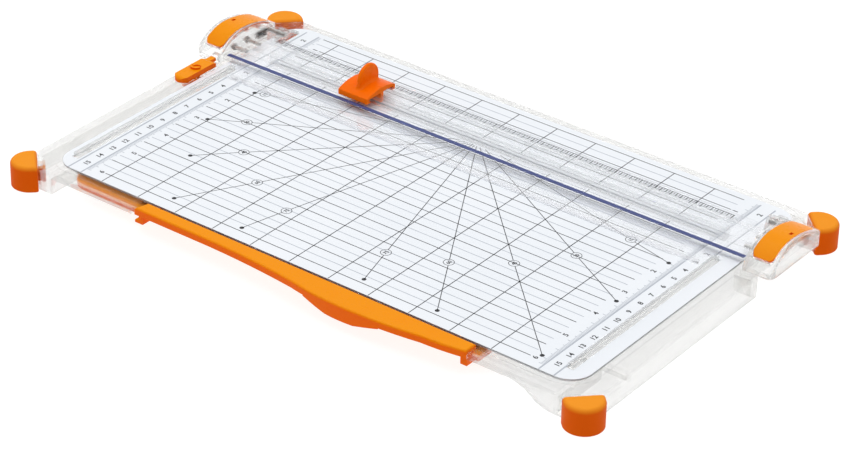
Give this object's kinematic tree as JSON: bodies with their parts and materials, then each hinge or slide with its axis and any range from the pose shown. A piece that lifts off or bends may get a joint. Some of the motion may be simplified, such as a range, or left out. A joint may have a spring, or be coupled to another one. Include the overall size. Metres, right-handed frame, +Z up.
{
  "type": "rail paper trimmer",
  "caption": "Desktop paper trimmer with a clear tray, a hinged blade rail and sliding cutter, a lock slider and a swing-out paper support arm.",
  "frame": {"origin": "middle of the bounding box, at the soles of the feet", "axes": "+X along the cut to the right, +Y to the back of the tray, +Z up"},
  "size_m": [0.382, 0.2326, 0.0355],
  "materials": {
    "clear_body": "clear, polished",
    "panel_white": "satin, printed",
    "strip_grey": "satin",
    "orange_rubber": "soft satin",
    "orange_plastic": "semi-gloss moulded",
    "navy_print": "satin",
    "grip_rubber": "matte, translucent grey",
    "black_rubber": "matte",
    "steel": "zinc plated",
    "blade_steel": "ground edge"
  },
  "bodies": {
    "base": {"base_shell": "clear_body", "deck_panel": "panel_white", "cutting_strip": "strip_grey", "foot_front_left": "orange_rubber", "foot_front_right": "orange_rubber", "foot_rear_left": "orange_rubber", "foot_rear_right": "orange_rubber", "hinge_pin_left": "steel", "hinge_pin_right": "steel", "arm_pivot_screw": "steel", "arm_pivot_washer": "steel"},
    "rail": {"rail_body": "clear_body", "rail_head_left": "clear_body", "rail_head_right": "clear_body", "head_inlay_left": "orange_plastic", "head_inlay_right": "orange_plastic", "alignment_strip": "navy_print", "grip_strip": "grip_rubber", "head_screws": "steel", "friction_pad_left": "black_rubber", "friction_pad_right": "black_rubber"},
    "carriage": {"carriage_body": "orange_plastic", "blade": "blade_steel", "blade_pin": "steel"},
    "arm": {"extension_arm": "orange_plastic"},
    "latch": {"latch_slider": "orange_plastic"}
  },
  "joints": [
    {"name": "rail_lift", "type": "hinge", "parent": "base", "child": "rail", "pos_m": [0, 0.08525, 0.0174], "axis": [-1, 0, 0], "range_deg": [0, 75]},
    {"name": "carriage_slide", "type": "slide", "parent": "rail", "child": "carriage", "axis": [1, 0, 0], "range_m": [-0.055, 0.222]},
    {"name": "arm_swing", "type": "hinge", "parent": "base", "child": "arm", "pos_m": [-0.14275, -0.09275, 0.0094], "axis": [0, 0, -1], "range_deg": [0, 90]},
    {"name": "latch_slide", "type": "slide", "parent": "base", "child": "latch", "axis": [0, 1, 0], "range_m": [0, 0.0045]}
  ]
}
